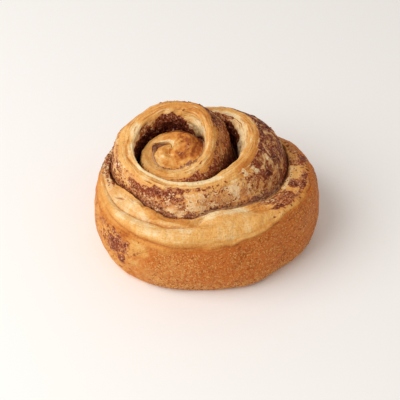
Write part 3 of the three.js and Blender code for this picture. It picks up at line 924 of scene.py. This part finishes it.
# Grain of the surface, in mm.
GRAIN_HEIGHTS = {"plies": 0.5, "specks": 0.6, "grains": 0.4}
grain = 0.0
for label, weight in GRAIN_HEIGHTS.items():
    terms = {0: pattern[label], 1: weight, 2: grain}
    grain = add(tree, "ShaderNodeMath", terms, operation="MULTIPLY_ADD").outputs[0]
bump = add(tree, "ShaderNodeBump", {"Height": grain, "Strength": 0.8, "Distance": MM})
tree.links.new(bump.outputs["Normal"], shader.inputs["Normal"])
shader.inputs["Roughness"].default_value = 0.6
shader.inputs["Specular IOR Level"].default_value = 0.14

dough.data.materials.append(dough_material)
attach(dough, "root")
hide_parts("dough")


# The filling is a paste of cinnamon, sugar and butter, spread on the dough before it was wound up. It fills
# the slot between two turns, from near the base to a low dome at the top, and shows as a dark, crumbly line
# in every crack.
FILLING_START = 14 / 44
FILLING_END = 143 / 44
FILLING_ROWS = 900
FILLING_COLUMNS = (2, 8, 2, 2)

# In mm: its foot above the base, its room to the dough, its dome, and how far below the crack it ends. Bumps
# cover its top.
FILLING_FOOT = 0.6
FILLING_CLEAR = 0.12
FILLING_DOME = 0.5
FILLING_DROP = 0.15
FILLING_BUMPS = ((0.45, 3, 31), (0.25, 1.4, 32))
FILLING_TOP = (0.9, 2.1, 0.2)

# How much sugar has boiled up in the crack at some turns: round the middle, and at the front of the roll.
SUGARED = ((0.3, 0.1), (0.46, 0.1), (0.52, 1), (0.66, 1), (0.75, 0.4), (0.92, 0.4), (0.97, 1), (1.03, 1),
           (1.08, 0.1), (1.15, 0), (2.69, 0), (2.75, 0.6), (2.92, 0.6), (3, 0))

# How far the paste has sunk into the crack at some turns, in mm, where the dough rose apart: at the left, at
# the front left and at the right.
SUNK = ((2.34, 0), (2.42, 1.2), (2.55, 1.2), (2.6, 0.8), (2.72, 0.8), (2.78, 0), (2.96, 0), (3.01, 1.8),
        (3.14, 1.8), (3.2, 0))


def filling_surface(turn, across):
    """The paste's closed outline at a turn. Across runs from 0 to 4: up the inside, over a low dome between
    the two walls, down the outside, and back along the foot."""
    half = slot_width(turn) / 2 - FILLING_CLEAR
    over = across - 1
    parts = [across < 1, across < 2, across < 3]
    side = np.select(parts, [-1, 2 * over - 1, 1], 7 - 2 * across)
    upright = np.select(parts, [across, 1, 3 - across], 0)
    lower = FILLING_DROP * (1 - by_turn(turn, *SUGARED)) + by_turn(turn, *SUNK)
    top = along("crack", turn) + FILLING_DOME * half_wave(over) - lower
    return place(turn, along("seam", turn) + half * side, mix(FILLING_FOOT, top, upright))


filling_turn, filling_run = even_steps(FILLING_START, FILLING_END, FILLING_ROWS, "seam", "crack")
filling_across = columns(*FILLING_COLUMNS) + 0 * filling_turn
filling_points = filling_surface(filling_turn, filling_across)
filling_points[..., 2] += bumps(filling_points, *FILLING_BUMPS) * zone(filling_across, *FILLING_TOP)
filling_uv = np.stack([filling_run + 0 * filling_across, filling_across], -1)
closed = closed_ends(filling_points)
filling = make_piece(
    "cinnamon_paste",
    (closed + to_node).reshape(-1, 3),
    grid_faces(*closed.shape[:2]),
    closed_ends(filling_uv).reshape(-1, 2),
    {"sugar": closed_ends(by_turn(filling_turn, *SUGARED) + 0 * filling_across).reshape(-1)},
)

# Cinnamon paste, baked: dark, a little moist, and grainy with sugar, which is paler where it has boiled up.
PASTE_DARK, PASTE_GRAIN, SUGAR_SKIN = colour("#5e2813"), colour("#8f5335"), colour("#c9986a")
SUGAR_MM = 0.7
SUGAR_STARTS, SUGAR_COVERS = 0.42, 0.68
SUGAR_SKIN_SHARE = 0.8
SUGAR_HEIGHT = 0.4
filling_material = bpy.data.materials.new("baked cinnamon paste")
filling_material.use_nodes = True
tree = filling_material.node_tree
shader = tree.nodes["Principled BSDF"]
spot = add(tree, "ShaderNodeTexCoord").outputs["Object"]
sugar = add(tree, "ShaderNodeTexNoise", {"Vector": spot, "Scale": 1 / (SUGAR_MM * MM), "Detail": 3.0})
sugar = sugar.outputs["Fac"]
grainy = add(tree, "ShaderNodeMapRange", {"Value": sugar, "From Min": SUGAR_STARTS, "From Max": SUGAR_COVERS})
grainy = grainy.outputs["Result"]
paste = add(tree, "ShaderNodeMix", {0: grainy, 6: PASTE_DARK, 7: PASTE_GRAIN}, data_type="RGBA").outputs[2]
boiled = add(tree, "ShaderNodeAttribute", attribute_name="sugar").outputs["Fac"]
boiled = add(tree, "ShaderNodeMath", {0: boiled, 1: SUGAR_SKIN_SHARE}, operation="MULTIPLY").outputs[0]
paste = add(tree, "ShaderNodeMix", {0: boiled, 6: paste, 7: SUGAR_SKIN}, data_type="RGBA").outputs[2]
tree.links.new(paste, shader.inputs["Base Color"])
bump = add(tree, "ShaderNodeBump", {"Height": sugar, "Strength": 0.6, "Distance": SUGAR_HEIGHT * MM})
tree.links.new(bump.outputs["Normal"], shader.inputs["Normal"])
shader.inputs["Roughness"].default_value = 0.5
shader.inputs["Specular IOR Level"].default_value = 0.3
filling.data.materials.append(filling_material)
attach(filling, "root")
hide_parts("cinnamon_filling")


# Crumbs of the paste have dried and broken off along the cracks and torn edges, and stick to the dough there.
# Each is a small uneven lump, pressed a little way into the surface.
crumbs_per_cm2 = painted(0, (
    (14, 0.66, 0.94, 0.9, 1.0),
    (16, 1.03, 1.16, 0.84, 1.0),
    (22, 2.06, 2.3, 0.6, 0.86),
    (5, 2.18, 2.44, 0.22, 0.32),
    (24, 2.42, 2.57, 0.84, 1.0),
    (34, 2.57, 2.74, 0.9, 1.0),
    (14, 2.74, 2.98, 0.92, 1.0),
    (4, 2.9, 3.3, 0.62, 0.95),
    (14, 2.98, 3.2, 0.1, 0.2),
    (30, 3.4, 3.54, 0.02, 0.38),
    (12, 3.54, 3.56, 0.02, 0.24),
    (30, 3.4, 3.49, 0.34, 0.62),
    (5, 3.88, 4.2, 0.05, 0.6),
))

# A crumb's radius is in mm, and its unevenness, flatness and depth are shares of that.
CRUMB_RADIUS = (0.28, 0.62)
CRUMB_UNEVEN = (0.6, 1.5)
CRUMB_FLATNESS = 0.65
CRUMB_SUNK = 0.25
CRUMB_SEED = 51
MM2_PER_CM2 = 100
cell_along = np.gradient(surface, axis=0)
cell_across = np.gradient(surface, axis=1)
cell_cm2 = np.linalg.norm(np.cross(cell_across, cell_along), axis=-1) / MM2_PER_CM2
expected = (crumbs_per_cm2 * cell_cm2).reshape(-1)
rng = np.random.default_rng(CRUMB_SEED)
crumb_count = int(expected.sum())
chosen = rng.choice(expected.size, crumb_count, p=expected / expected.sum())
jitter = rng.uniform(-0.5, 0.5, (2, crumb_count, 1))
spots = surface.reshape(-1, 3)[chosen] + jitter[0] * cell_along.reshape(-1, 3)[chosen]
spots = spots + jitter[1] * cell_across.reshape(-1, 3)[chosen]
ways = outwards.reshape(-1, 3)[chosen]

# A lump: the corners of an icosahedron, each pushed in or out, then flattened along the surface's own
# direction. Its faces are all the sets of three corners that are nearer than this to each other.
GOLDEN = (1 + np.sqrt(5)) / 2
NEIGHBOUR = 1.2
lump = np.array([(s, t * GOLDEN, 0) for s in (-1, 1) for t in (-1, 1)])
lump = np.concatenate([np.roll(lump, k, axis=1) for k in range(3)])
lump = lump / np.linalg.norm(lump[0])
corners = len(lump)
near = np.linalg.norm(lump[:, None] - lump, axis=-1) < NEIGHBOUR
lump_faces = np.array([(a, b, c) for a in range(corners) for b in range(a) for c in range(b)
                       if near[a, b] and near[b, c] and near[a, c]])
first, second, third = (lump[lump_faces[:, k]] for k in range(3))
facing = np.einsum("fi,fi->f", np.cross(second - first, third - first), first)
lump_faces[facing < 0] = lump_faces[facing < 0][:, ::-1]
radius = rng.uniform(*CRUMB_RADIUS, (crumb_count, 1, 1))
radius = radius * rng.uniform(*CRUMB_UNEVEN, (crumb_count, corners, 1))
lumps = lump * radius
along_way = np.einsum("kpi,ki->kp", lumps, ways)[..., None] * ways[:, None]
lumps = lumps - (1 - CRUMB_FLATNESS) * along_way
crumb_points = spots[:, None] + lumps - CRUMB_SUNK * CRUMB_RADIUS[0] * ways[:, None]
crumb_faces = (corners * np.arange(crumb_count)[:, None, None] + lump_faces).reshape(-1, 3)
crumb_tone = np.repeat(rng.uniform(0, 1, crumb_count), corners)
crumbs = make_piece(
    "cinnamon_crumbs",
    (crumb_points + to_node).reshape(-1, 3),
    crumb_faces,
    np.zeros((corners * crumb_count, 2)),
    {"tone": crumb_tone},
)

# Dried cinnamon paste: matt, from dark brown to a sugary tan, one tone for each crumb.
CRUMB_DARK, CRUMB_TAN = colour("#5e2a16"), colour("#a0633c")
crumb_material = bpy.data.materials.new("dried cinnamon paste")
crumb_material.use_nodes = True
tree = crumb_material.node_tree
shader = tree.nodes["Principled BSDF"]
tone = add(tree, "ShaderNodeAttribute", attribute_name="tone").outputs["Fac"]
tint = add(tree, "ShaderNodeMix", {0: tone, 6: CRUMB_DARK, 7: CRUMB_TAN}, data_type="RGBA").outputs[2]
tree.links.new(tint, shader.inputs["Base Color"])
shader.inputs["Roughness"].default_value = 0.75
shader.inputs["Specular IOR Level"].default_value = 0.15
crumbs.data.materials.append(crumb_material)
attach(crumbs, "root")


# The floor and the light are those of a plain studio: a pale matt sweep, a large soft lamp to the left and an
# even white fill. The camera looks down at the roll's front from the height that the picture was taken at.
FLOOR_HALF = 1.5
floor_corners = [(x * FLOOR_HALF, y * FLOOR_HALF, 0) for x, y in ((-1, -1), (1, -1), (1, 1), (-1, 1))]
floor_mesh = bpy.data.meshes.new("studio_floor")
floor_mesh.from_pydata(floor_corners, [], [(0, 1, 2, 3)])
floor = bpy.data.objects.new("studio_floor", floor_mesh)
bpy.context.collection.objects.link(floor)
floor_material = bpy.data.materials.new("matt white paper")
floor_material.use_nodes = True
shader = floor_material.node_tree.nodes["Principled BSDF"]
shader.inputs["Base Color"].default_value = colour("#faf8f6")
shader.inputs["Roughness"].default_value = 0.8
floor_mesh.materials.append(floor_material)

LAMP_WAY = Vector((-0.64, -0.27, 0.72))
LAMP_DISTANCE = 0.9
lamp_data = bpy.data.lights.new("soft lamp", "AREA")
lamp_data.shape = "DISK"
lamp_data.size = 0.9
lamp_data.energy = 6.3
lamp = bpy.data.objects.new("soft lamp", lamp_data)
lamp.location = LAMP_WAY.normalized() * LAMP_DISTANCE
lamp.rotation_euler = LAMP_WAY.to_track_quat("Z", "Y").to_euler()
bpy.context.collection.objects.link(lamp)

world = bpy.data.worlds.new("white studio")
world.use_nodes = True
background = world.node_tree.nodes["Background"]
background.inputs["Color"].default_value = colour("#fffaf3")
background.inputs["Strength"].default_value = 0.53
bpy.context.scene.world = world
bpy.context.scene.view_settings.view_transform = "Standard"

CAMERA_HEIGHT_DEG = 44
CAMERA_DISTANCE = 0.589
AIM_MM = np.array((-3.4, 0, 14.7))
aim = Vector(AIM_MM + to_node) * MM
camera_data = bpy.data.cameras.new("camera")
camera_data.lens = 110
camera_data.sensor_width = 36
camera = bpy.data.objects.new("camera", camera_data)
camera_rise = np.radians(CAMERA_HEIGHT_DEG)
camera_way = Vector((0, -np.cos(camera_rise), np.sin(camera_rise)))
camera.location = aim + camera_way * CAMERA_DISTANCE
camera.rotation_euler = camera_way.to_track_quat("Z", "Y").to_euler()
bpy.context.collection.objects.link(camera)
bpy.context.scene.camera = camera
